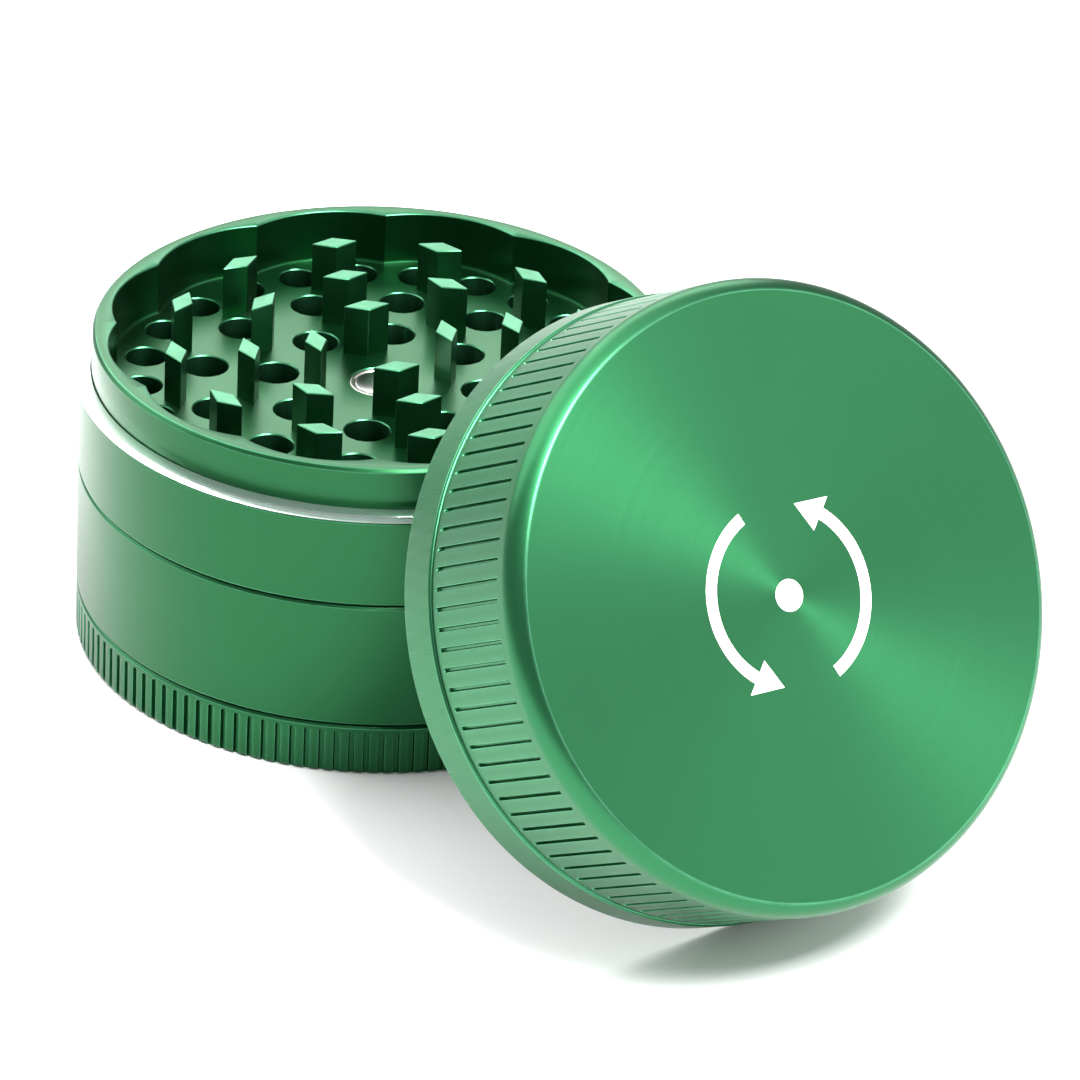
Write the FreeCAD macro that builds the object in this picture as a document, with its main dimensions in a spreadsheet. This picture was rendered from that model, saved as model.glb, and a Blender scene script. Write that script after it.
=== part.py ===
import FreeCAD, Part
import math
import os
import re
import Sketcher

# Four-piece hand grinder: kief catcher, screen chamber, grinding chamber and lid.
# Origin: centre of the foot, +Z up the stack, millimetres.
# The lid is off and stands tilted on its rim beside the stack.

SIZES = {
    # shared outline
    "body_radius": 31.5,
    "edge_chamfer": 0.25,
    "seam_gap": 0.1,
    # heights of the faces where the pieces meet
    "lower_seam": 5.7,
    "upper_seam": 19.8,
    "shoulder_level": 29.6,
    "collar_top": 34.9,
    # screw threads, the same at both seams
    "thread_pitch": 1.5,
    "male_crest": 29.4,
    "male_root": 28.8,
    "female_crest": 29.0,
    "female_root": 29.6,
    "thread_relief": 0.1,
    "neck_length": 3.6,
    "relief_length": 0.9,
    "lead_in": 0.3,
    "nose_chamfer": 0.4,
    "mouth_chamfer": 0.7,
    "cutter_overrun": 0.2,
    "thread_flank": 0.5,
    "male_groove_half": 0.275,
    "female_groove_half": 0.225,
    # kief catcher
    "catcher_floor": 1.5,
    "catcher_dish": 27.4,
    "dish_draft": 0.6,
    "foot_chamfer": 0.35,
    "grip_slot_width": 0.62,
    "grip_slot_depth": 0.4,
    "grip_slot_top": 5.0,
    # screen chamber
    "screen_bore": 27.6,
    "screen_bore_taper": 1.2,
    "screen_ledge": 25.4,
    "screen_level": 6.2,
    "screen_thickness": 0.3,
    "screen_radius": 27.5,
    "retainer_outer": 27.55,
    "retainer_inner": 25.9,
    "retainer_height": 1.2,
    "retainer_slope": 0.7,
    "retainer_gap": 0.03,
    # grinding chamber
    "collar_radius": 30.2,
    "collar_chamfer": 0.35,
    "chamber_floor": 29.1,
    "plate_thickness": 2.6,
    "skirt_bore": 27.3,
    "skirt_chamfer": 0.8,
    "wall_base_radius": 27.0,
    "scallop_radius": 13.0,
    "scallop_centre": 15.8,
    "tooth_length": 5.0,
    "tooth_width": 2.4,
    "chamber_tooth_height": 5.5,
    "magnet_bore": 3.15,
    "magnet_depth": 1.8,
    # magnets and the rings pressed in round them
    "magnet_ring_outer": 3.12,
    "magnet_ring_inner": 2.68,
    "magnet_radius": 2.64,
    "magnet_height": 1.7,
    "magnet_edge": 0.2,
    # clear friction ring on the shoulder
    "ring_inner": 30.25,
    "ring_outer": 31.85,
    "ring_height": 0.95,
    "ring_edge": 0.22,
    # lid, measured from its open rim
    "lid_height": 20.3,
    "lid_bore": 30.3,
    "lid_depth": 12.0,
    "lid_rim_chamfer": 0.3,
    "flange_height": 5.0,
    "flange_chamfer": 0.2,
    "flange_groove": 0.3,
    "flange_groove_depth": 0.35,
    "band_radius": 31.25,
    "shoulder_start": 17.8,
    "shoulder_radius": 2.5,
    "face_radius": 29.9,
    "lid_slot_width": 0.42,
    "lid_slot_depth": 0.38,
    "lid_slot_start": 5.8,
    "lid_slot_end": 17.3,
    "lid_tooth_tip": 1.0,
    "lid_corner": 1.2,
    "post_radius": 4.6,
    "post_chamfer": 0.3,
    "post_tip": 0.6,
    "post_bore_depth": 8.6,
    # where the lid stands
    "lean_azimuth": -54.6,
    "lean_elevation": 30.8,
    "lean_distance": 52.3,
}

GRIP_SLOTS = 128
LID_SLOTS = 100
SCALLOPS = 12

# rings of teeth and holes: name, radius, count, angle of the first one in degrees
CHAMBER_TEETH = (
    ("inner", 7.0, 4, 13.8),
    ("middle", 14.3, 8, 16.6),
    ("outer", 21.9, 12, 14.3),
)
CHAMBER_HOLES = (
    ("inner", 11.0, 8, 39.1, 2.4),
    ("middle", 18.5, 12, 23.6, 2.4),
    ("outer", 25.0, 24, 6.5, 2.15),
)
LID_TEETH = (
    ("inner", 10.65, 4, 0.0),
    ("middle", 18.1, 6, 10.0),
    ("outer", 25.3, 8, 20.0),
)

# the two axes of a sketch, as its constraints number them
H_AXIS = -1
V_AXIS = -2

doc = FreeCAD.newDocument("grinder")
sheet = doc.addObject("Spreadsheet::Sheet", "Sizes")
for row, (alias, number) in enumerate(SIZES.items(), start=1):
    sheet.set("A%d" % row, alias)
    sheet.set("B%d" % row, str(number))
    sheet.setAlias("B%d" % row, alias)
doc.recompute()


def bound(expression):
    """The expression with each size name pointing at its cell."""
    def point_at_cell(match):
        word = match.group(0)
        return "Sizes." + word if word in SIZES else word
    return re.sub(r"[a-z_]+", point_at_cell, str(expression))


def value(expression):
    """The number that an expression of size names gives now."""
    result = sheet.evalExpression(bound(expression))
    return float(getattr(result, "Value", result))


def origin_feature(body, role):
    for feature in body.Origin.OriginFeatures:
        if feature.Role == role:
            return feature
    raise RuntimeError("no origin feature " + role)


def new_body(label):
    body = doc.addObject("PartDesign::Body", label)
    body.Label = label
    return body


def new_sketch(body, name, plane, level="0"):
    """A sketch on one of the body's own origin planes, lifted to a level."""
    sketch = body.newObject("Sketcher::SketchObject", name)
    sketch.AttachmentSupport = [(origin_feature(body, plane), "")]
    sketch.MapMode = "FlatFace"
    if level != "0":
        lift = FreeCAD.Vector(0, 0, value(level))
        sketch.AttachmentOffset = FreeCAD.Placement(lift, FreeCAD.Rotation())
        sketch.setExpression("AttachmentOffset.Base.z", bound(level))
    return sketch


def tie(sketch, kind, expression, *places):
    """One dimension of a sketch, bound to the sheet."""
    index = sketch.addConstraint(Sketcher.Constraint(kind, *places, value(expression)))
    sketch.setExpression("Constraints[%d]" % index, bound(expression))


def tie_point(sketch, geometry, end, across, up):
    """Hold one end of a line at a distance from the sketch's origin."""
    for kind, axis, expression in (("DistanceX", V_AXIS, across), ("DistanceY", H_AXIS, up)):
        if abs(value(expression)) < 1e-9:
            sketch.addConstraint(Sketcher.Constraint("PointOnObject", geometry, end, axis))
        else:
            tie(sketch, kind, expression, -1, 1, geometry, end)


def outline(sketch, points):
    """A closed outline; a third entry is the radius of the arc that arrives at that point."""
    corners = [FreeCAD.Vector(value(point[0]), value(point[1]), 0) for point in points]
    for i, point in enumerate(points):
        start = corners[i - 1]
        if len(point) == 3:
            edge = bulging_arc(start, corners[i], value(point[2]))
        else:
            edge = Part.LineSegment(start, corners[i])
        sketch.addGeometry(edge, False)
    for i, point in enumerate(points):
        end = nearest_end(sketch, i, corners[i])
        following = (i + 1) % len(points)
        next_end = nearest_end(sketch, following, corners[i])
        sketch.addConstraint(Sketcher.Constraint("Coincident", i, end, following, next_end))
        tie_point(sketch, i, end, point[0], point[1])
        if len(point) == 3:
            tie(sketch, "Radius", point[2], i)


def bulging_arc(start, end, radius):
    """The shorter arc between two points that bulges to the right of the way along it."""
    chord = end - start
    half = chord.Length / 2
    side = FreeCAD.Vector(chord.y, -chord.x, 0).normalize()
    middle = (start + end) * 0.5 + side * (radius - math.sqrt(radius ** 2 - half ** 2))
    return Part.Arc(start, middle, end)


def nearest_end(sketch, index, corner):
    """1 when the edge starts at the corner, 2 when it ends there."""
    starts_there = sketch.Geometry[index].StartPoint.distanceToPoint(corner) < 1e-4
    return 1 if starts_there else 2


def revolve(body, name, points, groove=False):
    """Turn an outline of (radius, height) points about Z, as a solid or as a cut."""
    sketch = new_sketch(body, name + "_outline", "XZ_Plane")
    outline(sketch, points)
    kind = "PartDesign::Groove" if groove else "PartDesign::Revolution"
    feature = body.newObject(kind, name)
    feature.Profile = sketch
    feature.ReferenceAxis = (sketch, ["V_Axis"])
    feature.Angle = 360
    doc.recompute()
    return feature


def polar(body, name, feature, count):
    """Repeat a feature about Z."""
    pattern = body.newObject("PartDesign::PolarPattern", name)
    pattern.Originals = [feature]
    pattern.Axis = (origin_feature(body, "Z_Axis"), [""])
    pattern.Angle = 360
    pattern.Occurrences = count
    body.Tip = pattern
    doc.recompute()
    return pattern


def extrude(body, name, sketch, length, cut):
    """Pad a sketch up +Z, or cut upwards from it."""
    kind = "PartDesign::Pocket" if cut else "PartDesign::Pad"
    feature = body.newObject(kind, name)
    feature.Profile = sketch
    feature.Length = value(length)
    feature.setExpression("Length", bound(length))
    feature.Reversed = cut
    volume_before = body.Shape.Volume
    doc.recompute()
    removed = volume_before - body.Shape.Volume
    if (removed > 0) != cut:
        raise RuntimeError("%s points the wrong way" % name)
    return feature


def slots(body, name, count, radius, depth, width, start, end):
    """Narrow grip slots milled along the side."""
    sketch = new_sketch(body, name + "_outline", "XY_Plane", start)
    reach = "%s + 1" % radius
    inner = "%s - %s" % (radius, depth)
    half = "%s / 2" % width
    outline(sketch, (
        (inner, "-" + half),
        (reach, "-" + half),
        (reach, half),
        (inner, half),
    ))
    slot = extrude(body, name + "_slot", sketch, "%s - (%s)" % (end, start), True)
    polar(body, name, slot, count)


def tooth_ring(body, name, radius, count, angle, level, height):
    """Diamond-section teeth with the long diagonal along the ring."""
    sketch = new_sketch(body, name + "_outline", "XY_Plane", level)
    turn = math.radians(angle)
    outward = (math.cos(turn), math.sin(turn))
    corners = []
    for along, across in ((0, -1), (1, 0), (0, 1), (-1, 0)):
        x = "%r * %r + tooth_width / 2 * %r - tooth_length / 2 * %r" % (
            radius, outward[0], across * outward[0], along * outward[1])
        y = "%r * %r + tooth_width / 2 * %r + tooth_length / 2 * %r" % (
            radius, outward[1], across * outward[1], along * outward[0])
        corners.append((x, y))
    outline(sketch, corners)
    tooth = extrude(body, name + "_tooth", sketch, height, False)
    polar(body, name, tooth, count)


def hole_ring(body, name, radius, count, angle, hole_radius, level, depth):
    """Round holes cut up through the plate."""
    sketch = new_sketch(body, name + "_outline", "XY_Plane", level)
    turn = math.radians(angle)
    centre = FreeCAD.Vector(radius * math.cos(turn), radius * math.sin(turn), 0)
    sketch.addGeometry(Part.Circle(centre, FreeCAD.Vector(0, 0, 1), hole_radius), False)
    tie(sketch, "Radius", repr(hole_radius), 0)
    tie_point(sketch, 0, 3, repr(centre.x), repr(centre.y))
    hole = extrude(body, name + "_hole", sketch, depth, True)
    polar(body, name, hole, count)


def thread(body, name, corners, height):
    """Cut a right-hand helical groove about Z, from the outline's level upwards."""
    sketch = new_sketch(body, name + "_outline", "XZ_Plane")
    outline(sketch, corners)
    helix = body.newObject("PartDesign::SubtractiveHelix", name)
    helix.Profile = sketch
    helix.ReferenceAxis = (sketch, ["V_Axis"])
    helix.Mode = 0
    helix.Pitch = value("thread_pitch")
    helix.Height = value(height)
    helix.setExpression("Pitch", bound("thread_pitch"))
    helix.setExpression("Height", bound(height))
    volume_before = body.Shape.Volume
    doc.recompute()
    if body.Shape.Volume >= volume_before:
        raise RuntimeError(name + " cuts nothing")


def male_thread(body, seam):
    """The groove round the neck below a seam."""
    start = "%s - neck_length - 0.6 * thread_pitch" % seam
    inner_half = "male_groove_half"
    outer_half = "male_groove_half + thread_flank * (male_crest + cutter_overrun - male_root)"
    thread(body, "thread", (
        ("male_root", "%s - %s" % (start, inner_half)),
        ("male_crest + cutter_overrun", "%s - (%s)" % (start, outer_half)),
        ("male_crest + cutter_overrun", "%s + %s" % (start, outer_half)),
        ("male_root", "%s + %s" % (start, inner_half)),
    ), "neck_length - relief_length + thread_pitch * 0.8")


def female_thread(body, seam):
    """The groove in the bore below a seam, half a pitch from the neck's groove."""
    start = "%s - neck_length - 0.1 * thread_pitch" % seam
    outer_half = "female_groove_half"
    cut_depth = "(female_root + cutter_overrun - female_crest)"
    inner_half = "female_groove_half + thread_flank * %s" % cut_depth
    thread(body, "thread", (
        ("female_crest - cutter_overrun", "%s - (%s)" % (start, inner_half)),
        ("female_root", "%s - %s" % (start, outer_half)),
        ("female_root", "%s + %s" % (start, outer_half)),
        ("female_crest - cutter_overrun", "%s + %s" % (start, inner_half)),
    ), "neck_length + thread_pitch * 0.8")


def neck_outline(seam, bore):
    """Outline of a threaded neck, from the shoulder at the seam round to its bore."""
    return [
        ("male_root - thread_relief", seam),
        ("male_root - thread_relief", "%s - relief_length" % seam),
        ("male_crest", "%s - relief_length - lead_in" % seam),
        ("male_crest", "%s - neck_length + nose_chamfer" % seam),
        ("male_crest - nose_chamfer", "%s - neck_length" % seam),
        (bore, "%s - neck_length" % seam),
    ]


def socket_outline(seam):
    """Outline of a threaded socket, from below its relief up to the seam."""
    return [
        ("female_root + thread_relief", "%s - neck_length - lead_in" % seam),
        ("female_root + thread_relief", "%s - neck_length + relief_length - lead_in" % seam),
        ("female_crest", "%s - neck_length + relief_length" % seam),
        ("female_crest", "%s - mouth_chamfer" % seam),
        ("female_root + thread_relief", seam),
    ]


def kief_catcher():
    """The shallow cup at the foot, with its grip slots and socket thread."""
    body = new_body("kief_catcher")
    top = "lower_seam - seam_gap"
    revolve(body, "cup", [
        ("0", "0"),
        ("body_radius - foot_chamfer", "0"),
        ("body_radius", "foot_chamfer"),
        ("body_radius", "lower_seam - seam_gap - edge_chamfer"),
        ("body_radius - edge_chamfer", top),
    ] + socket_outline(top)[::-1] + [
        ("catcher_dish + dish_draft", "%s - neck_length - lead_in" % top),
        ("catcher_dish", "catcher_floor"),
        ("0", "catcher_floor"),
    ])
    female_thread(body, top)
    slots(body, "grip", GRIP_SLOTS, "body_radius", "grip_slot_depth", "grip_slot_width",
          "-1", "grip_slot_top")
    return body


def screen_chamber():
    """The tube that holds the mesh screen, threaded at both ends."""
    body = new_body("screen_chamber")
    top = "upper_seam - seam_gap"
    revolve(body, "tube", neck_outline("lower_seam", "screen_ledge")[::-1] + [
        ("body_radius - edge_chamfer", "lower_seam"),
        ("body_radius", "lower_seam + edge_chamfer"),
        ("body_radius", "upper_seam - seam_gap - edge_chamfer"),
        ("body_radius - edge_chamfer", top),
    ] + socket_outline(top)[::-1] + [
        ("screen_bore", "%s - neck_length - screen_bore_taper" % top),
        ("screen_bore", "screen_level"),
        ("screen_ledge", "screen_level"),
    ])
    female_thread(body, top)
    male_thread(body, "lower_seam")
    return body


def grinding_chamber():
    """The plate with its teeth and holes, the scalloped collar and the threaded skirt."""
    body = new_body("grinding_chamber")
    revolve(body, "blank", neck_outline("upper_seam", "skirt_bore")[::-1] + [
        ("body_radius - edge_chamfer", "upper_seam"),
        ("body_radius", "upper_seam + edge_chamfer"),
        ("body_radius", "shoulder_level - edge_chamfer"),
        ("body_radius - edge_chamfer", "shoulder_level"),
        ("collar_radius", "shoulder_level"),
        ("collar_radius", "collar_top - collar_chamfer"),
        ("collar_radius - collar_chamfer", "collar_top"),
        ("wall_base_radius", "collar_top"),
        ("wall_base_radius", "chamber_floor"),
        ("0", "chamber_floor"),
        ("0", "chamber_floor - plate_thickness"),
        ("skirt_bore - skirt_chamfer", "chamber_floor - plate_thickness"),
        ("skirt_bore", "chamber_floor - plate_thickness - skirt_chamfer"),
    ])
    male_thread(body, "upper_seam")
    sketch = new_sketch(body, "scallop_outline", "XY_Plane", "chamber_floor")
    centre = FreeCAD.Vector(math.cos(math.pi / SCALLOPS), math.sin(math.pi / SCALLOPS), 0)
    place = centre * value("scallop_centre")
    sketch.addGeometry(Part.Circle(place, FreeCAD.Vector(0, 0, 1), value("scallop_radius")), False)
    tie(sketch, "Radius", "scallop_radius", 0)
    tie_point(sketch, 0, 3, "scallop_centre * %r" % centre.x, "scallop_centre * %r" % centre.y)
    scallop = extrude(body, "scallop", sketch, "collar_top - chamber_floor + 1", True)
    polar(body, "scallops", scallop, SCALLOPS)
    for name, radius, count, angle, hole_radius in CHAMBER_HOLES:
        hole_ring(body, name + "_holes", radius, count, angle, hole_radius,
                  "chamber_floor - plate_thickness - 1", "plate_thickness + 1.5")
    for name, radius, count, angle in CHAMBER_TEETH:
        tooth_ring(body, name + "_teeth", radius, count, angle,
                   "chamber_floor - 0.5", "chamber_tooth_height + 0.5")
    revolve(body, "magnet_seat", [
        ("0", "chamber_floor - magnet_depth"),
        ("magnet_bore", "chamber_floor - magnet_depth"),
        ("magnet_bore", "chamber_floor + 1"),
        ("0", "chamber_floor + 1"),
    ], groove=True)
    return body


def lid():
    """The lid in its own frame: open rim at zero, outer face upwards."""
    body = new_body("lid")
    revolve(body, "cap", [
        ("lid_bore", "lid_rim_chamfer"),
        ("lid_bore + lid_rim_chamfer", "0"),
        ("body_radius - lid_rim_chamfer", "0"),
        ("body_radius", "lid_rim_chamfer"),
        ("body_radius", "flange_height - flange_chamfer"),
        ("body_radius - flange_chamfer", "flange_height"),
        ("body_radius - flange_groove_depth", "flange_height"),
        ("body_radius - flange_groove_depth", "flange_height + flange_groove"),
        ("band_radius", "flange_height + flange_groove"),
        ("band_radius", "shoulder_start"),
        ("face_radius", "lid_height", "shoulder_radius"),
        ("0", "lid_height"),
        ("0", "post_tip"),
        ("post_radius - post_chamfer", "post_tip"),
        ("post_radius", "post_tip + post_chamfer"),
        ("post_radius", "lid_depth"),
        ("lid_bore - lid_corner", "lid_depth"),
        ("lid_bore", "lid_depth - lid_corner"),
    ])
    for name, radius, count, angle in LID_TEETH:
        tooth_ring(body, name + "_teeth", radius, count, angle,
                   "lid_tooth_tip", "lid_depth - lid_tooth_tip + 0.5")
    slots(body, "grip", LID_SLOTS, "band_radius", "lid_slot_depth", "lid_slot_width",
          "lid_slot_start", "lid_slot_end")
    revolve(body, "magnet_seat", [
        ("0", "post_tip - 1"),
        ("magnet_bore", "post_tip - 1"),
        ("magnet_bore", "post_tip + post_bore_depth"),
        ("0", "post_tip + post_bore_depth"),
    ], groove=True)
    return body


def magnet(label, bottom):
    """A disc magnet with chamfered edges."""
    body = new_body(label)
    revolve(body, "disc", [
        ("0", bottom),
        ("magnet_radius - magnet_edge", bottom),
        ("magnet_radius", "%s + magnet_edge" % bottom),
        ("magnet_radius", "%s + magnet_height - magnet_edge" % bottom),
        ("magnet_radius - magnet_edge", "%s + magnet_height" % bottom),
        ("0", "%s + magnet_height" % bottom),
    ])
    return body


def magnet_ring(label, bottom, lip):
    """The thin ring pressed in round a magnet, with a sloped inner lip at its open end."""
    body = new_body(label)
    top = "%s + magnet_height" % bottom
    upper = "%s - %s" % (top, "magnet_edge" if lip > 0 else "0")
    lower = "%s + %s" % (bottom, "magnet_edge" if lip < 0 else "0")
    points = [("magnet_ring_inner", lower)]
    if lip < 0:
        points.append(("magnet_ring_inner + magnet_edge", bottom))
    points.append(("magnet_ring_outer", bottom))
    points.append(("magnet_ring_outer", top))
    if lip > 0:
        points.append(("magnet_ring_inner + magnet_edge", top))
    points.append(("magnet_ring_inner", upper))
    revolve(body, "ring", points)
    return body


def friction_ring():
    """The clear ring that lies on the shoulder round the collar."""
    body = new_body("friction_ring")
    revolve(body, "ring", [
        ("ring_inner", "shoulder_level"),
        ("ring_outer - ring_edge", "shoulder_level"),
        ("ring_outer", "shoulder_level + ring_edge"),
        ("ring_outer", "shoulder_level + ring_height - ring_edge"),
        ("ring_outer - ring_edge", "shoulder_level + ring_height"),
        ("ring_inner", "shoulder_level + ring_height"),
    ])
    return body


def mesh_screen():
    """The woven screen as one thin disc on its ledge."""
    body = new_body("mesh_screen")
    revolve(body, "disc", [
        ("0", "screen_level"),
        ("screen_radius", "screen_level"),
        ("screen_radius", "screen_level + screen_thickness"),
        ("0", "screen_level + screen_thickness"),
    ])
    return body


def screen_retaining_ring():
    """The ring pressed in above the screen, with a sloped inner edge."""
    body = new_body("screen_retaining_ring")
    bottom = "screen_level + screen_thickness + retainer_gap"
    revolve(body, "ring", [
        ("retainer_inner", bottom),
        ("retainer_outer", bottom),
        ("retainer_outer", "%s + retainer_height" % bottom),
        ("retainer_inner + retainer_slope", "%s + retainer_height" % bottom),
        ("retainer_inner", "%s + retainer_height - retainer_slope" % bottom),
    ])
    return body


def lean():
    """Where the lid stands: tilted, with the low side of its rim on the ground."""
    azimuth = math.radians(value("lean_azimuth"))
    elevation = math.radians(value("lean_elevation"))
    height = value("body_radius") * math.cos(elevation)
    height -= value("lid_rim_chamfer") * math.sin(elevation)
    place = FreeCAD.Vector(
        value("lean_distance") * math.cos(azimuth),
        value("lean_distance") * math.sin(azimuth),
        height)
    turn = FreeCAD.Rotation(FreeCAD.Vector(0, 0, 1), value("lean_azimuth"))
    tilt = FreeCAD.Rotation(FreeCAD.Vector(0, 1, 0), 90 - value("lean_elevation"))
    return FreeCAD.Placement(place, turn.multiply(tilt))


def main():
    chamber_seat = "chamber_floor - magnet_depth"
    parts = [
        kief_catcher(),
        screen_chamber(),
        mesh_screen(),
        screen_retaining_ring(),
        grinding_chamber(),
        friction_ring(),
        magnet("chamber_magnet", chamber_seat),
        magnet_ring("chamber_magnet_ring", chamber_seat, 1),
    ]
    lid_seat = "post_tip + magnet_depth - magnet_height"
    lid_parts = [
        lid(),
        magnet("lid_magnet", lid_seat),
        magnet_ring("lid_magnet_ring", lid_seat, -1),
    ]
    for body in lid_parts:
        body.Placement = lean()
    parts += lid_parts
    doc.recompute()
    for item in doc.Objects:
        if "Invalid" in item.State or "Error" in item.State:
            raise RuntimeError("%s is %s" % (item.Name, item.State))
    os.makedirs("parts", exist_ok=True)
    for body in parts:
        shape = body.Shape
        if shape.isNull() or not shape.isValid() or len(shape.Solids) != 1:
            raise RuntimeError("%s is not one valid solid" % body.Label)
        print("%-22s %9.1f mm3" % (body.Label, shape.Volume))
        shape.exportStep("parts/%s.step" % body.Label)


main()
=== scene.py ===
import math

import bpy
import numpy as np
from mathutils import Matrix, Quaternion, Vector
from mathutils.geometry import delaunay_2d_cdt

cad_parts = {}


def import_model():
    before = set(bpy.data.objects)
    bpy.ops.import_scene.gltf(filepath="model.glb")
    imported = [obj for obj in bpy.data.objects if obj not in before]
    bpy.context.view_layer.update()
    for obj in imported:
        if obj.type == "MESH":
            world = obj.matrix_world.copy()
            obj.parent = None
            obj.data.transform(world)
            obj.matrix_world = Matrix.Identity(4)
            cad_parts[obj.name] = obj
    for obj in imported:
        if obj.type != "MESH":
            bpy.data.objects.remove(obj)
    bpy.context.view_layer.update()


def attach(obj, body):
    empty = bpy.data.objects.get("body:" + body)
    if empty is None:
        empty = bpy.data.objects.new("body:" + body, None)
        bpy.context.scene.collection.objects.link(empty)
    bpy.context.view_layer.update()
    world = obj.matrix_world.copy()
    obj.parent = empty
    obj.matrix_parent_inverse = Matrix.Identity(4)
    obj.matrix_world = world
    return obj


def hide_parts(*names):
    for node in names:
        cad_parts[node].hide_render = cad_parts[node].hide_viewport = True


# A green anodised four-piece grinder, with its lid off and standing tilted beside it.
# Lengths are millimetres until a mesh is made; MM turns them into metres.

MM = 0.001
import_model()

# ---------------------------------------------------------------- sizes shared with the CAD part
BODY_RADIUS = 31.5
EDGE = 0.25
SEAM_GAP = 0.1
LOWER_SEAM = 5.7
UPPER_SEAM = 19.8
SHOULDER = 29.6
COLLAR_TOP = 34.9
COLLAR_RADIUS = 30.2
FLOOR_LEVEL = 29.1
PLATE = 2.6
SKIRT_BORE = 27.3
SCREEN_BORE, SCREEN_LEDGE_BORE, SCREEN_LEDGE = 27.6, 25.4, 6.2
CATCHER_SLOTS, CATCHER_SLOT_WIDTH, CATCHER_SLOT_DEPTH = 128, 0.62, 0.4
CATCHER_FLOOR, CATCHER_BORE = 1.5, 28.0
PITCH = 1.5
MALE_CREST, MALE_ROOT = 29.4, 28.8
FEMALE_CREST, FEMALE_ROOT = 29.0, 29.6
THREAD_RELIEF = 0.1
NECK = 3.6
RELIEF = 0.9
RELIEF_SLOPE = 0.3
NOSE_CHAMFER = 0.4
MOUTH_CHAMFER = 0.7
SOCKET_EXTRA = 0.3
MALE_START, FEMALE_START = 0.6, 0.1  # in pitches below the nose of the neck
MALE_GROOVE_HALF, FEMALE_GROOVE_HALF = 0.275, 0.225
FLANK_SLOPE = 0.5
SCALLOPS = 12
SCALLOP_CENTRE, SCALLOP_RADIUS = 15.8, 13.0
TOOTH_LENGTH, TOOTH_WIDTH, TOOTH_HEIGHT = 5.0, 2.4, 5.5
MAGNET_BORE, MAGNET_DEPTH, MAGNET_HEIGHT, MAGNET_RADIUS = 3.15, 1.8, 1.7, 2.64
LID_HEIGHT, LID_BORE, LID_DEPTH = 20.3, 30.3, 12.0
LID_RADIUS = 31.49  # 31.5 in the CAD part
BAND_RADIUS = 31.25
LID_SLOTS, LID_SLOT_WIDTH, LID_SLOT_DEPTH = 100, 0.42, 0.38
FACE_RADIUS, SHOULDER_ROUND = 29.9, 2.5
POST_RADIUS, POST_TIP, POST_BORE = 4.6, 0.6, 8.6
LEAN_AZIMUTH, LEAN_ELEVATION, LEAN_DISTANCE = -54.6, 30.8, 52.3
RIM_CHAMFER = 0.3

# rings of teeth and holes: radius, count, angle of the first in degrees (and the hole's radius)
CHAMBER_TEETH = ((7.0, 4, 13.8), (14.3, 8, 16.6), (21.9, 12, 14.3))
CHAMBER_HOLES = ((11.0, 8, 39.1, 2.4), (18.5, 12, 23.6, 2.4), (25.0, 24, 6.5, 2.15))
LID_TEETH = ((10.65, 4, 0.0), (18.1, 6, 10.0), (25.3, 8, 20.0))

# ---------------------------------------------------------------- how fine the meshes are
TAU = 2 * math.pi
EVEN_COLUMNS = np.linspace(0, TAU, 720, endpoint=False)
HOLE_SIDES = 48
HOLE_ANGLES = [TAU * i / HOLE_SIDES for i in range(HOLE_SIDES)]
HOLE_CHAMFER = 0.12
THREAD_ROWS = 61
ROUND_STEPS = 3
USUAL_ROUNDING = 0.12
LONGEST_ROUNDING = 0.45  # as a share of the shorter side beside it
CORNER = 0.08
SMOOTH_ANGLE = math.radians(32)


# ---------------------------------------------------------------- outlines of turned pieces
class Row:
    """One ring of a turned piece: radius, height, how much it is painted lighter as edge wear and edge
    highlight, and what is cut into it.
    """

    def __init__(self, radius, height, wear_and_highlight=0.0, cut=None):
        self.radius = radius
        self.height = height
        self.wear_and_highlight = wear_and_highlight
        self.cut = cut


def softened(points):
    """Rows for an outline of (radius, height) or (radius, height, rounding) points."""
    rows = []
    last = len(points) - 1
    for i, point in enumerate(points):
        here = Vector(point[:2])
        rounding = point[2] if len(point) > 2 else USUAL_ROUNDING
        if i in (0, last) or rounding == 0:
            rows.append(Row(here.x, here.y))
            continue
        back = Vector(points[i - 1][:2]) - here
        ahead = Vector(points[i + 1][:2]) - here
        reach = min(rounding, back.length * LONGEST_ROUNDING, ahead.length * LONGEST_ROUNDING)
        start = here + back.normalized() * reach
        end = here + ahead.normalized() * reach
        for step in range(ROUND_STEPS + 1):
            t = step / ROUND_STEPS
            place = start * (1 - t) ** 2 + here * 2 * t * (1 - t) + end * t ** 2
            # rows inside a rounding are marked worn, and the material paints them lighter as wear and
            # as edge highlight
            rows.append(Row(place.x, place.y, wear_and_highlight=1.0 if 0 < t < 1 else 0.0))
    return rows


def cut_rows(profile, top, bottom, cut):
    """Rows at even heights down a wall whose radius is read off a profile of (height, radius)."""
    heights = sorted(profile)
    rows = []
    for height in np.linspace(top, bottom, THREAD_ROWS):
        radius = np.interp(height, [p[0] for p in heights], [p[1] for p in heights])
        rows.append(Row(float(radius), float(height), cut=cut))
    return rows


def groove(angles, height, start, root_half, depth):
    """How deep a helical groove is at each angle of one row, in a right-hand thread."""
    along = (height - start) / PITCH - angles / TAU
    off_centre = np.abs(along - np.round(along)) * PITCH
    return np.clip((root_half + FLANK_SLOPE * depth - off_centre) / FLANK_SLOPE, 0, depth)


def male_cut(seam):
    """The groove cut into the neck below a seam."""
    start = seam - NECK - MALE_START * PITCH

    def radii(row, angles):
        depth = groove(angles, row.height, start, MALE_GROOVE_HALF, MALE_CREST - MALE_ROOT)
        return np.minimum(row.radius, MALE_CREST - depth), np.zeros_like(angles)
    return radii


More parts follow.
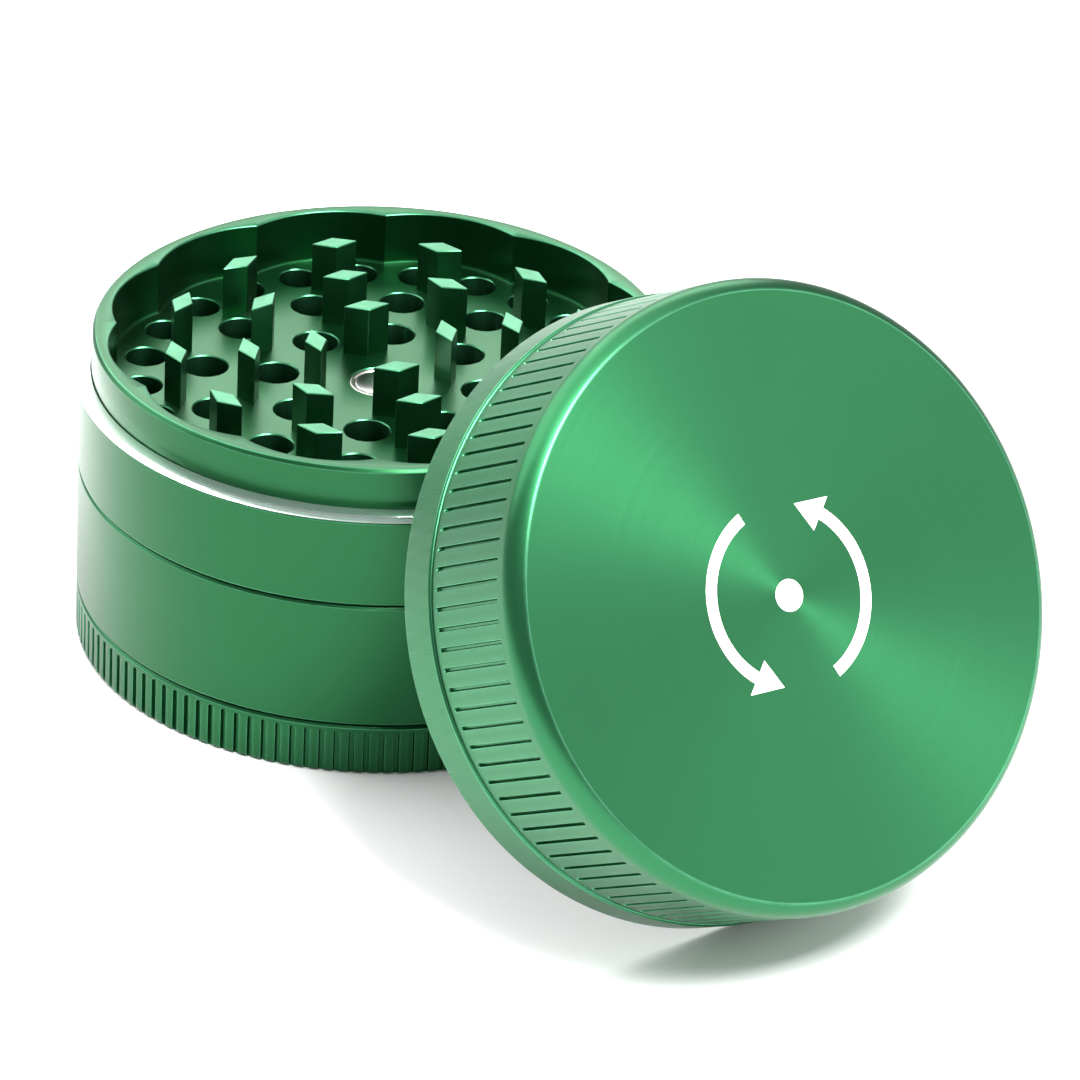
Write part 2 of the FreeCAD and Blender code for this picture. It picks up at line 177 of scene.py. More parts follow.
def female_cut(seam):
    """The groove cut into the socket below a seam."""
    start = seam - NECK - FEMALE_START * PITCH

    def radii(row, angles):
        depth = groove(angles, row.height, start, FEMALE_GROOVE_HALF, FEMALE_ROOT - FEMALE_CREST)
        return np.maximum(row.radius, FEMALE_CREST + depth), np.zeros_like(angles)
    return radii


def slot_cut(radius, count, width, depth, low, high):
    """Grip slots with round ends, steep walls and a worn lip, painted lighter as wear and as a
    highlight on the lip.
    """
    wall, lip_width, lip_drop, worn_lit_width = 0.07, 0.06, 0.018, 0.05

    def radii(row, angles):
        pitch = TAU / count
        across = (angles / pitch - np.round(angles / pitch)) * pitch * radius
        half = width / 2
        along = min(max(row.height, low + half), high - half)
        inside = half - np.hypot(across, row.height - along)
        sunk = np.clip(inside / wall, 0, 1)
        sunk = sunk * sunk * (3 - 2 * sunk)
        lip = np.clip(1 + inside / lip_width, 0, 1) * lip_drop
        # the band round each slot's edge is marked worn and painted lighter, as lip wear and as painted
        # highlight
        worn_and_lit = np.exp(-(inside / worn_lit_width) ** 2)
        return np.minimum(row.radius, radius - depth * sunk - lip), worn_and_lit
    return radii


def scallop_radius(angles):
    """Radius of the scalloped wall, the far side of the nearest of the overlapping circles."""
    pitch = TAU / SCALLOPS
    off = angles / pitch - 0.5
    off = (off - np.round(off)) * pitch
    beside = SCALLOP_CENTRE * np.sin(off)
    return SCALLOP_CENTRE * np.cos(off) + np.sqrt(SCALLOP_RADIUS ** 2 - beside ** 2)


def scallop_cut(inset):
    """A row that follows the scalloped wall at a small distance inside it."""
    def radii(row, angles):
        return scallop_radius(angles) - inset, np.full_like(angles, row.wear_and_highlight)
    return radii


def slot_columns(count, radius, width):
    """Angles close together at each slot's walls and far apart between them."""
    half = width / 2
    offsets = [0.0]
    for offset in (half - 0.09, half - 0.055, half - 0.03, half, half + 0.03, half + 0.07):
        offsets += [offset, -offset]
    middle = TAU / count / 2
    single = sorted([o / radius for o in offsets] + [middle])
    return np.array([i * TAU / count + a for i in range(count) for a in single])


class Shell:
    """Vertices, faces and edge wear, which is also painted edge highlight, of one piece as it's put
    together.
    """

    def __init__(self):
        self.points = []
        self.faces = []
        self.wear_and_highlight = []
        self.count = 0

    def add(self, points, faces, wear_and_highlight):
        points = np.asarray(points, float)
        self.points.append(points)
        self.faces += [tuple(int(i) + self.count for i in face) for face in faces]
        self.wear_and_highlight.append(np.broadcast_to(np.asarray(wear_and_highlight, float), (len(points),)))
        self.count += len(points)

    def turned(self, rows, angles=EVEN_COLUMNS, closed=False, caps=(False, False)):
        """Rows turned about Z. An open outline can be capped by one flat face at either end."""
        columns = len(angles)
        points = []
        wear_and_highlight = []
        for row in rows:
            if row.cut:
                radii, worn_and_lit = row.cut(row, angles)
            else:
                radii = np.full(columns, row.radius)
                worn_and_lit = np.full(columns, row.wear_and_highlight)
            points.append(np.stack([radii * np.cos(angles), radii * np.sin(angles),
                                    np.full(columns, row.height)], 1))
            wear_and_highlight.append(worn_and_lit)
        ring = np.arange(columns)
        following = np.roll(ring, -1)
        count = len(rows)
        faces = []
        for i in range(count if closed else count - 1):
            here = i * columns
            there = (i + 1) % count * columns
            faces.append(np.stack([here + ring, there + ring,
                                   there + following, here + following], 1))
        faces = [tuple(face) for face in np.concatenate(faces)]
        if caps[0]:
            faces.append(tuple(ring))
        if caps[1]:
            faces.append(tuple((count - 1) * columns + ring[::-1]))
        self.add(np.concatenate(points), faces, np.concatenate(wear_and_highlight))

    def pierced_disc(self, outer, holes, height, upward):
        """A flat face with round holes in it. Holes are (x, y, radius)."""
        within = 0.98  # a triangle nearer to a hole's centre than this share of its radius is in it
        corners = [Vector(p) for p in outer]
        edges = [(i, (i + 1) % len(outer)) for i in range(len(outer))]
        for x, y, radius in holes:
            first = len(corners)
            for angle in HOLE_ANGLES:
                corners.append(Vector((x + radius * math.cos(angle), y + radius * math.sin(angle))))
            edges += [(first + i, first + (i + 1) % HOLE_SIDES) for i in range(HOLE_SIDES)]
        flat, _, triangles, _, _, _ = delaunay_2d_cdt(corners, edges, [], 0, 1e-6)
        flat = np.array([tuple(v) for v in flat])
        outer = np.array(outer)
        outer_angles = np.arctan2(outer[:, 1], outer[:, 0])
        order = np.argsort(outer_angles)
        outer_radii = np.hypot(outer[:, 0], outer[:, 1])
        kept = []
        for triangle in triangles:
            x, y = flat[list(triangle)].mean(0)
            limit = np.interp(math.atan2(y, x), outer_angles[order], outer_radii[order], period=TAU)
            if math.hypot(x, y) > limit:
                continue
            if any(math.hypot(x - hole[0], y - hole[1]) < hole[2] * within for hole in holes):
                continue
            kept.append(triangle if upward else triangle[::-1])
        points = np.column_stack([flat, np.full(len(flat), height)])
        self.add(points, kept, 0.0)

    def hole_wall(self, x, y, radius, top, bottom):
        """The chamfered wall of one round hole."""
        # the chamfer is marked worn and painted lighter, as wear and as highlight
        levels = ((HOLE_CHAMFER, top, 0.5), (0.0, top - HOLE_CHAMFER, 1.0), (0.0, bottom, 0.0))
        points = []
        wear_and_highlight = []
        for grown, height, worn_and_lit in levels:
            for angle in HOLE_ANGLES:
                points.append((x + (radius + grown) * math.cos(angle),
                               y + (radius + grown) * math.sin(angle), height))
                wear_and_highlight.append(worn_and_lit)
        faces = []
        for level in range(len(levels) - 1):
            here, below = level * HOLE_SIDES, (level + 1) * HOLE_SIDES
            for i in range(HOLE_SIDES):
                j = (i + 1) % HOLE_SIDES
                faces.append((here + i, here + j, below + j, below + i))
        self.add(points, faces, wear_and_highlight)

    def tooth(self, radius, degrees, foot, tip):
        """A diamond-section tooth with broken edges. The tip can be above or below the foot."""
        turn = math.radians(degrees)
        outward = Vector((math.cos(turn), math.sin(turn)))
        around = Vector((-math.sin(turn), math.cos(turn)))
        centre = outward * radius
        corners = [centre - outward * TOOTH_WIDTH / 2, centre + around * TOOTH_LENGTH / 2,
                   centre + outward * TOOTH_WIDTH / 2, centre - around * TOOTH_LENGTH / 2]
        if tip > foot:
            corners.reverse()
        broken, drawn_in = 0.09, 1.4
        section = []
        for i, corner in enumerate(corners):
            for other in (corners[i - 1], corners[(i + 1) % 4]):
                section.append(corner + (other - corner).normalized() * broken)
        up = 1 if tip > foot else -1
        # the tip's broken edge is marked worn and painted lighter, as wear and as highlight
        levels = ((foot, 0.0, 0.0), (tip - up * broken, 0.0, 0.3), (tip, broken, 1.0))
        points = []
        wear_and_highlight = []
        for height, inset, worn_and_lit in levels:
            for place in section:
                moved = place + (centre - place).normalized() * inset * drawn_in
                points.append((moved.x, moved.y, height))
                wear_and_highlight.append(worn_and_lit)
        count = len(section)
        faces = [tuple(range(2 * count, 3 * count))]
        for level in range(2):
            for i in range(count):
                j = (i + 1) % count
                faces.append((level * count + j, level * count + i,
                              (level + 1) * count + i, (level + 1) * count + j)[::-1])
        faces = [face[::-1] for face in faces]
        self.add(points, faces, wear_and_highlight)

    def tube(self, path, radius, sides=5):
        """A round wire along a path of points."""
        path = np.asarray(path, float)
        along = np.gradient(path, axis=0)
        along /= np.linalg.norm(along, axis=1)[:, None]
        side = np.cross(along, (0, 0, 1.0))
        side /= np.linalg.norm(side, axis=1)[:, None]
        up = np.cross(side, along)
        points = []
        for i in range(sides):
            a = TAU * i / sides
            points.append(path + radius * (math.cos(a) * side + math.sin(a) * up))
        points = np.stack(points, 1).reshape(-1, 3)
        faces = []
        for i in range(len(path) - 1):
            for j in range(sides):
                k = (j + 1) % sides
                faces.append((i * sides + j, i * sides + k,
                              (i + 1) * sides + k, (i + 1) * sides + j))
        self.add(points, faces, 0.0)

    def plate(self, outline, bottom, top):
        """A thin flat shape with upright edges."""
        count = len(outline)
        points = [(x, y, bottom) for x, y in outline] + [(x, y, top) for x, y in outline]
        faces = [tuple(range(count, 2 * count))]
        for i in range(count):
            j = (i + 1) % count
            faces.append((i, j, count + j, count + i))
        self.add(points, faces, 0.0)

    def piece(self, name, body, material, stands_for=(), place=None):
        """The finished object, riding on its body and standing for its CAD nodes."""
        own = np.concatenate(self.points) * MM
        around = np.column_stack([-own[:, 1], own[:, 0], np.zeros(len(own))])
        around /= np.maximum(np.linalg.norm(around, axis=1), 1e-9)[:, None]
        points = own
        if place is not None:
            turn = np.array(place.to_3x3())
            points = own @ turn.T + np.array(place.translation)
            around = around @ turn.T
        mesh = bpy.data.meshes.new(name)
        mesh.from_pydata(points.tolist(), [], self.faces)
        worn_and_lit = mesh.attributes.new("worn_and_lit", "FLOAT", "POINT")
        worn_and_lit.data.foreach_set("value", np.concatenate(self.wear_and_highlight).astype(np.float32))
        for label, vectors in (("own", own), ("around", around)):
            stored = mesh.attributes.new(label, "FLOAT_VECTOR", "POINT")
            stored.data.foreach_set("vector", vectors.astype(np.float32).ravel())
        mesh.shade_smooth()
        mesh.set_sharp_from_angle(angle=SMOOTH_ANGLE)
        mesh.materials.append(material)
        made = bpy.data.objects.new(name, mesh)
        bpy.context.scene.collection.objects.link(made)
        normals = made.modifiers.new("normals", "WEIGHTED_NORMAL")
        normals.keep_sharp = True
        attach(made, body)
        if stands_for:
            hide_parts(*stands_for)


# ---------------------------------------------------------------- materials
class Nodes:
    """Short calls for making the nodes of one material."""

    def __init__(self, name):
        self.material = bpy.data.materials.new(name)
        self.material.use_nodes = True
        self.tree = self.material.node_tree
        self.shader = self.tree.nodes["Principled BSDF"]

    def new(self, kind, **values):
        node = self.tree.nodes.new(kind)
        for key, setting in values.items():
            setattr(node, key, setting)
        return node

    def link(self, source, target):
        self.tree.links.new(source, target)

    def feed(self, source, name):
        """Link to one of the shader's own inputs."""
        self.link(source, self.shader.inputs[name])

    def maths(self, operation, first, second=None):
        node = self.new("ShaderNodeMath", operation=operation)
        for socket, given in zip(node.inputs, (first, second)):
            if given is None:
                continue
            if isinstance(given, (int, float)):
                socket.default_value = given
            else:
                self.link(given, socket)
        return node.outputs[0]

    def noise(self, vector, scale, detail=3.0, roughness=0.55):
        node = self.new("ShaderNodeTexNoise")
        self.link(vector, node.inputs["Vector"])
        node.inputs["Scale"].default_value = scale
        node.inputs["Detail"].default_value = detail
        node.inputs["Roughness"].default_value = roughness
        return node.outputs["Fac"]

    def between(self, source, low, high):
        """The 0 to 1 source spread from low to high."""
        node = self.new("ShaderNodeMapRange")
        self.link(source, node.inputs["Value"])
        node.inputs["To Min"].default_value = low
        node.inputs["To Max"].default_value = high
        return node.outputs[0]

    def mix(self, factor, first, second):
        node = self.new("ShaderNodeMix", data_type="RGBA")
        self.link(factor, node.inputs["Factor"])
        # inputs 6 and 7 and output 2 are the colour ones of a Mix node
        for socket, given in ((node.inputs[6], first), (node.inputs[7], second)):
            if isinstance(given, tuple):
                socket.default_value = (*given, 1.0)
            else:
                self.link(given, socket)
        return node.outputs[2]

    def place(self):
        """The piece's own coordinates, and (radius, height) for marks that run round its axis."""
        own = self.new("ShaderNodeAttribute", attribute_name="own").outputs["Vector"]
        split = self.new("ShaderNodeSeparateXYZ")
        self.link(own, split.inputs[0])
        across = self.maths("MULTIPLY", split.outputs["X"], split.outputs["X"])
        along = self.maths("MULTIPLY", split.outputs["Y"], split.outputs["Y"])
        radius = self.maths("SQRT", self.maths("ADD", across, along))
        turned = self.new("ShaderNodeCombineXYZ")
        self.link(radius, turned.inputs["X"])
        self.link(split.outputs["Z"], turned.inputs["Y"])
        return own, turned.outputs[0]

    def tangent(self):
        """The way that the turning marks run, for the stretched highlights."""
        around = self.new("ShaderNodeAttribute", attribute_name="around").outputs["Vector"]
        turned = self.new("ShaderNodeVectorTransform", vector_type="VECTOR", convert_from="OBJECT",
                          convert_to="WORLD")
        self.link(around, turned.inputs[0])
        return turned.outputs[0]

    def bump(self, height, distance, strength, under=None):
        node = self.new("ShaderNodeBump")
        self.link(height, node.inputs["Height"])
        node.inputs["Distance"].default_value = distance
        node.inputs["Strength"].default_value = strength
        if under is not None:
            self.link(under, node.inputs["Normal"])
        return node.outputs[0]

    def set(self, **constants):
        for name, constant in constants.items():
            self.shader.inputs[name.replace("_", " ")].default_value = constant


def turned_metal(name, dark, light, bare_and_highlight, roughness, anisotropy, coat):
    """Metal with fine turning marks round the axis, soft blotches, and edges painted lighter, partly as
    rubbed wear and partly as painted highlight.
    """
    nodes = Nodes(name)
    own, turned = nodes.place()
    blotches = nodes.noise(own, scale=55.0, detail=4.0)
    marks = nodes.noise(turned, scale=5200.0, detail=2.0)
    coarse_marks = nodes.noise(turned, scale=900.0, detail=2.0)
    worn_and_lit = nodes.new("ShaderNodeAttribute", attribute_name="worn_and_lit").outputs["Fac"]
    patchy = nodes.between(nodes.noise(own, scale=400.0, detail=4.0), 0.1, 0.75)
    # painted highlight and wear: edges marked in the worn attribute are mixed towards a lighter colour
    rubbed_and_highlight = nodes.maths("MULTIPLY", worn_and_lit, patchy)
    tone = nodes.mix(nodes.between(blotches, 0.15, 0.85), dark, light)
    nodes.feed(nodes.mix(rubbed_and_highlight, tone, bare_and_highlight), "Base Color")
    smudges = nodes.between(nodes.noise(own, scale=140.0, detail=5.0, roughness=0.65),
                            roughness - 0.02, roughness + 0.03)
    streaks = nodes.between(marks, -0.04, 0.04)
    nodes.feed(nodes.maths("ADD", smudges, streaks), "Roughness")
    fine = nodes.bump(marks, distance=0.000012, strength=0.6)
    nodes.feed(nodes.bump(coarse_marks, distance=0.00001, strength=0.35, under=fine), "Normal")
    nodes.feed(nodes.tangent(), "Tangent")
    # a quarter turn lays the stretched highlight across the turning marks
    nodes.set(Metallic=1.0, Anisotropic=anisotropy, Anisotropic_Rotation=0.25)
    nodes.set(Coat_Weight=coat, Coat_Roughness=0.22, Coat_IOR=1.6)
    return nodes.material


def clear_polymer():
    """A clear moulded ring, slightly milky, with faint scuffs."""
    nodes = Nodes("clear_polymer")
    own, turned = nodes.place()
    scuffs = nodes.noise(own, scale=700.0, detail=5.0, roughness=0.7)
    nodes.feed(nodes.mix(scuffs, (0.50, 0.64, 0.61), (0.66, 0.77, 0.75)), "Base Color")
    nodes.feed(nodes.between(scuffs, 0.05, 0.22), "Roughness")
    nodes.feed(nodes.bump(nodes.noise(turned, scale=1500.0), distance=0.00002, strength=0.5), "Normal")
    nodes.set(IOR=1.47, Transmission_Weight=0.9)
    return nodes.material


def wire_steel():
    """Drawn stainless wire."""
    nodes = Nodes("steel_mesh")
    own, _ = nodes.place()
    stains = nodes.noise(own, scale=300.0, detail=4.0)
    nodes.feed(nodes.mix(stains, (0.42, 0.41, 0.38), (0.66, 0.65, 0.62)), "Base Color")
    nodes.feed(nodes.between(nodes.noise(own, scale=2500.0), 0.22, 0.42), "Roughness")
    nodes.feed(nodes.bump(nodes.noise(own, scale=9000.0), distance=0.000005, strength=0.5), "Normal")
    nodes.set(Metallic=1.0)
    return nodes.material


def printed_ink():
    """Thin white printing ink with a slight grain."""
    nodes = Nodes("printed_ink")
    own, _ = nodes.place()
    grain = nodes.noise(own, scale=2600.0, detail=4.0)
    nodes.feed(nodes.mix(grain, (0.74, 0.77, 0.75), (0.93, 0.94, 0.93)), "Base Color")
    nodes.feed(nodes.between(nodes.noise(own, scale=500.0), 0.4, 0.6), "Roughness")
    nodes.feed(nodes.bump(grain, distance=0.00001, strength=0.5), "Normal")
    return nodes.material


body_green = turned_metal("anodised_body", dark=(0.007, 0.078, 0.023), light=(0.009, 0.084, 0.026),
                          bare_and_highlight=(0.09, 0.36, 0.20), roughness=0.35, anisotropy=0.45, coat=0.16)
# painted light: the lid is given a lighter green than the body to make up for the light its band and
# face get
lid_green_lightened = turned_metal("anodised_lid", dark=(0.017, 0.123, 0.046), light=(0.020, 0.131, 0.050),
                         bare_and_highlight=(0.14, 0.48, 0.28), roughness=0.33, anisotropy=0.76, coat=0.12)
bright_metal = turned_metal("bare_aluminium", dark=(0.66, 0.63, 0.55), light=(0.78, 0.76, 0.68),
                            bare_and_highlight=(0.92, 0.91, 0.87), roughness=0.25, anisotropy=0.35, coat=0.0)
nickel = turned_metal("nickel", dark=(0.36, 0.36, 0.35), light=(0.47, 0.47, 0.46),
                      bare_and_highlight=(0.7, 0.7, 0.68), roughness=0.24, anisotropy=0.2, coat=0.0)
polymer = clear_polymer()
steel = wire_steel()
ink = printed_ink()


# ---------------------------------------------------------------- the stack
def neck(seam):
    """Rows of a threaded neck, from the seam's face down to its nose."""
    profile = ((seam, MALE_ROOT - THREAD_RELIEF), (seam - RELIEF, MALE_ROOT - THREAD_RELIEF),
               (seam - RELIEF - RELIEF_SLOPE, MALE_CREST), (seam - NECK + NOSE_CHAMFER, MALE_CREST),
               (seam - NECK, MALE_CREST - NOSE_CHAMFER))
    return cut_rows(profile, seam, seam - NECK, male_cut(seam))


def socket(top, lowest):
    """Rows of a threaded socket, from its mouth down to its relief."""
    profile = ((top, FEMALE_ROOT + THREAD_RELIEF), (top - MOUTH_CHAMFER, FEMALE_CREST),
               (top - NECK + RELIEF, FEMALE_CREST),
               (top - NECK + RELIEF - RELIEF_SLOPE, FEMALE_ROOT + THREAD_RELIEF),
               (lowest, FEMALE_ROOT + THREAD_RELIEF))
    return cut_rows(profile, top, lowest, female_cut(top))


def kief_catcher():
    """The cup at the foot. Its slots run out through the foot's edge."""
    shell = Shell()
    top = LOWER_SEAM - SEAM_GAP
    lowest = top - NECK - SOCKET_EXTRA
    slots_low, slots_high = -2.0, 5.0
    inmost, foot_edge, dish_edge = 4.0, 30.7, 27.4
    cut = slot_cut(BODY_RADIUS, CATCHER_SLOTS, CATCHER_SLOT_WIDTH, CATCHER_SLOT_DEPTH,
                   slots_low, slots_high)
    rows = [Row(inmost, 0.0), Row(foot_edge, 0.0)]
    for radius, height in ((31.0, 0.0), (31.15, 0.0), (31.22, 0.04), (31.44, 0.26), (31.5, 0.36)):
        rows.append(Row(radius, height, cut=cut))
    # rows close together where the slots' round ends are
    for height in [0.8, 2.0, 3.4, 4.4] + list(np.arange(4.62, 5.09, 0.045)) + [5.14]:
        rows.append(Row(BODY_RADIUS, float(height), cut=cut))
    rows += softened([(BODY_RADIUS, 5.16), (BODY_RADIUS, top - EDGE, CORNER),
                      (BODY_RADIUS - EDGE, top, CORNER), (FEMALE_ROOT + THREAD_RELIEF, top, 0)])
    rows += socket(top, lowest)
    rows += softened([(FEMALE_ROOT + THREAD_RELIEF, lowest), (CATCHER_BORE, lowest, 0.1),
                      (dish_edge, CATCHER_FLOOR, 0.4), (inmost, CATCHER_FLOOR)])
    shell.turned(rows, slot_columns(CATCHER_SLOTS, BODY_RADIUS, CATCHER_SLOT_WIDTH), caps=(True, True))
    shell.piece("kief_catcher_body", "catcher", body_green, ["kief_catcher"])


def screen_chamber():
    """The tall tube, with a neck below, a socket above and a ledge for the screen."""
    shell = Shell()
    top = UPPER_SEAM - SEAM_GAP
    lowest = top - NECK - SOCKET_EXTRA
    nose = LOWER_SEAM - NECK
    bore_top = top - NECK - 1.2
    rows = softened([(SCREEN_LEDGE_BORE, nose + 4.1, 0), (SCREEN_LEDGE_BORE, nose, 0.1),
                     (MALE_CREST - NOSE_CHAMFER, nose)])
    rows += neck(LOWER_SEAM)[::-1]
    rows += softened([(MALE_ROOT - THREAD_RELIEF, LOWER_SEAM), (BODY_RADIUS - EDGE, LOWER_SEAM, CORNER),
                      (BODY_RADIUS, LOWER_SEAM + EDGE, CORNER), (BODY_RADIUS, top - EDGE, CORNER),
                      (BODY_RADIUS - EDGE, top, CORNER), (FEMALE_ROOT + THREAD_RELIEF, top, 0)])
    rows += socket(top, lowest)
    rows += softened([(FEMALE_ROOT + THREAD_RELIEF, lowest), (SCREEN_BORE, bore_top, 0.2),
                      (SCREEN_BORE, SCREEN_LEDGE, 0.1), (SCREEN_LEDGE_BORE, SCREEN_LEDGE, 0)])
    shell.turned(rows, closed=True)
    shell.piece("screen_chamber_body", "screen_section", body_green,
                ["screen_chamber"])


def mesh_screen():
    """Wires woven over and under each other, with a pressed rim."""
    shell = Shell()
    level = 6.35
    spacing = 0.8
    wire_radius = 0.068
    wave_height = 0.07
    reach = 27.0
    step = 0.2
    most = int(reach / spacing)
    for way in range(2):
        for i in range(-most, most + 1):
            off = i * spacing
            half = math.sqrt(reach ** 2 - off ** 2)
            run = np.linspace(-half, half, max(8, int(half / step)))
            phase = i + way
            wave = wave_height * np.cos(math.pi * (run / spacing + phase))
            across = np.full_like(run, off)
            first, second = (run, across) if way == 0 else (across, run)
            shell.tube(np.stack([first, second, level + wave], 1), wire_radius)
    inner, outer, low, high, rounding = 26.4, 27.4, 6.22, 6.48, 0.05
    shell.turned(softened([(inner, low, rounding), (outer, low, rounding), (outer, high, rounding),
                           (inner, high, rounding), (inner - 0.1, level, rounding)]), closed=True)
    shell.piece("mesh_screen_weave", "screen_section", steel, ["mesh_screen"])


def retaining_ring():
    """The ring that is pressed in above the screen, sloped on its inside."""
    shell = Shell()
    bottom, top, slope_foot = 6.53, 6.53 + 1.2, 6.53 + 0.5
    inner, slope_top, outer = 25.9, 26.6, 27.55
    shell.turned(softened([(26.7, bottom, 0), (outer, bottom, CORNER), (outer, top, CORNER),
                           (slope_top, top, 0.1), (inner, slope_foot, 0.1), (inner, bottom, CORNER),
                           (slope_top, bottom, 0)]), closed=True)
    shell.piece("screen_retaining_ring_body", "screen_lift", bright_metal,
                ["screen_retaining_ring"])


def grinding_chamber():
    """Skirt, collar, scalloped wall, pierced floor and teeth, as one milled piece."""
    shell = Shell()
    under = FLOOR_LEVEL - PLATE
    nose = UPPER_SEAM - NECK
    collar_chamfer = 0.35
    inset_at_floor = 0.3
    sunk_foot = 0.2
    rows = [Row(SKIRT_BORE, under), Row(SKIRT_BORE, nose + 0.2), Row(SKIRT_BORE + 0.15, nose, 1.0)]
    rows += neck(UPPER_SEAM)[::-1]
    rows += softened([(MALE_ROOT - THREAD_RELIEF, UPPER_SEAM), (BODY_RADIUS - EDGE, UPPER_SEAM, CORNER),
                      (BODY_RADIUS, UPPER_SEAM + EDGE, CORNER), (BODY_RADIUS, SHOULDER - EDGE, CORNER),
                      (BODY_RADIUS - EDGE, SHOULDER, CORNER), (COLLAR_RADIUS, SHOULDER, 0.05),
                      (COLLAR_RADIUS, COLLAR_TOP - collar_chamfer, 0.1),
                      (COLLAR_RADIUS - collar_chamfer, COLLAR_TOP, 0.1), (29.3, COLLAR_TOP, 0)])
    # the collar's top edge rows are marked worn and painted lighter, as wear and as highlight
    for inset, height, worn_and_lit in ((-0.16, COLLAR_TOP, 0.5), (-0.1, COLLAR_TOP - 0.03, 1.0),
                                (-0.03, COLLAR_TOP - 0.1, 1.0), (0.0, COLLAR_TOP - 0.18, 0.0),
                                (0.0, FLOOR_LEVEL + 0.4, 0.0), (0.04, FLOOR_LEVEL + 0.2, 0.0),
                                (0.14, FLOOR_LEVEL + 0.06, 0.0), (inset_at_floor, FLOOR_LEVEL, 0.0)):
        rows.append(Row(0.0, height, worn_and_lit, scallop_cut(inset)))
    shell.turned(rows)
    holes = []
    for radius, count, first, hole in CHAMBER_HOLES:
        for i in range(count):
            turn = math.radians(first) + TAU * i / count
            holes.append((radius * math.cos(turn), radius * math.sin(turn), hole))
    rim = scallop_radius(EVEN_COLUMNS) - inset_at_floor
    floor_edge = np.stack([rim * np.cos(EVEN_COLUMNS), rim * np.sin(EVEN_COLUMNS)], 1)
    under_edge = np.stack([SKIRT_BORE * np.cos(EVEN_COLUMNS), SKIRT_BORE * np.sin(EVEN_COLUMNS)], 1)
    top_holes = [(x, y, r + HOLE_CHAMFER) for x, y, r in holes]
    shell.pierced_disc(floor_edge.tolist(), top_holes + [(0.0, 0.0, MAGNET_BORE + HOLE_CHAMFER)],
                       FLOOR_LEVEL, True)
    shell.pierced_disc(under_edge.tolist(), holes, under, False)
    for x, y, radius in holes:
        shell.hole_wall(x, y, radius, FLOOR_LEVEL, under)
    shell.hole_wall(0.0, 0.0, MAGNET_BORE, FLOOR_LEVEL, FLOOR_LEVEL - MAGNET_DEPTH)
    seat = [(MAGNET_BORE * math.cos(a), MAGNET_BORE * math.sin(a), FLOOR_LEVEL - MAGNET_DEPTH)
            for a in HOLE_ANGLES]
    shell.add(seat, [tuple(range(len(seat)))], 0.0)
    for radius, count, first in CHAMBER_TEETH:
        for i in range(count):
            shell.tooth(radius, first + 360 * i / count, FLOOR_LEVEL - sunk_foot,
                        FLOOR_LEVEL + TOOTH_HEIGHT)
    shell.piece("grinding_chamber_body", "grinding_section", body_green,
                ["grinding_chamber"])


def friction_ring():
    """The clear ring that lies on the shoulder, round the collar."""
    shell = Shell()
    low, high = SHOULDER + 0.01, SHOULDER + 0.94
    inner, outer = 30.27, 31.83
    shell.turned(softened([(30.7, low, 0), (outer, low, 0.25), (outer, high, 0.25),
                           (inner, high, 0.15), (inner, low, 0.1), (30.6, low, 0)]), closed=True)
    shell.piece("friction_ring_body", "grinding_section", polymer,
                ["friction_ring"])


def magnet(name, body, node, bottom, place=None):
    """A small disc with rounded edges."""
    shell = Shell()
    top = bottom + MAGNET_HEIGHT
    inmost, rounding = 1.0, 0.25
    shell.turned(softened([(inmost, bottom), (MAGNET_RADIUS, bottom, rounding),
                           (MAGNET_RADIUS, top, rounding), (inmost, top)]),
                 EVEN_COLUMNS[::6], caps=(True, True))
    shell.piece(name, body, nickel, [node], place)


def magnet_ring(name, body, node, bottom, opens_up, place=None):
    """The ring round a magnet, with its chamfer towards the open end of the bore."""
    shell = Shell()
    top = bottom + MAGNET_HEIGHT
    slope = 0.16
    inner, outer = 2.68, 3.12
    upper = (inner, top - slope, 0.04) if opens_up else (inner, top, 0.03)
    lower = (inner, bottom, 0.03) if opens_up else (inner, bottom + slope, 0.04)
    outline = [(2.9, bottom, 0), (outer, bottom, 0.05), (outer, top, 0.05)]
    if opens_up:
        outline.append((inner + slope, top, 0.04))
    outline += [upper, lower]
    if not opens_up:
        outline.append((inner + slope, bottom, 0.04))
    outline.append((2.88, bottom, 0))
    shell.turned(softened(outline), EVEN_COLUMNS[::5], closed=True)
    shell.piece(name, body, bright_metal, [node], place)


# ---------------------------------------------------------------- the lid, in its own frame
def lid_place():
    """Where the lid's open rim is centred and which way it faces."""
    azimuth = math.radians(LEAN_AZIMUTH)
    elevation = math.radians(LEAN_ELEVATION)
    height = BODY_RADIUS * math.cos(elevation) - RIM_CHAMFER * math.sin(elevation)
    centre = Vector((LEAN_DISTANCE * math.cos(azimuth), LEAN_DISTANCE * math.sin(azimuth), height))
    turn = Matrix.Rotation(azimuth, 4, "Z") @ Matrix.Rotation(math.pi / 2 - elevation, 4, "Y")
    return Matrix.Translation(centre * MM) @ turn


def lid_shoulder():
    """Rows of the rounded shoulder, up to the sharp edge of the face."""
    start, end = Vector((BAND_RADIUS, 17.8)), Vector((FACE_RADIUS, LID_HEIGHT))
    chord = end - start
    bulge = Vector((chord.y, -chord.x)).normalized()
    centre = (start + end) / 2 - bulge * math.sqrt(SHOULDER_ROUND ** 2 - (chord.length / 2) ** 2)
    first = math.atan2(start.y - centre.y, start.x - centre.x)
    last = math.atan2(end.y - centre.y, end.x - centre.x)
    steps = 12
    rows = []
    for step in range(steps + 1):
        angle = first + (last - first) * step / steps
        rows.append(Row(centre.x + SHOULDER_ROUND * math.cos(angle),
                        centre.y + SHOULDER_ROUND * math.sin(angle),
                        0.6 if step == steps else 0.0))
    return rows


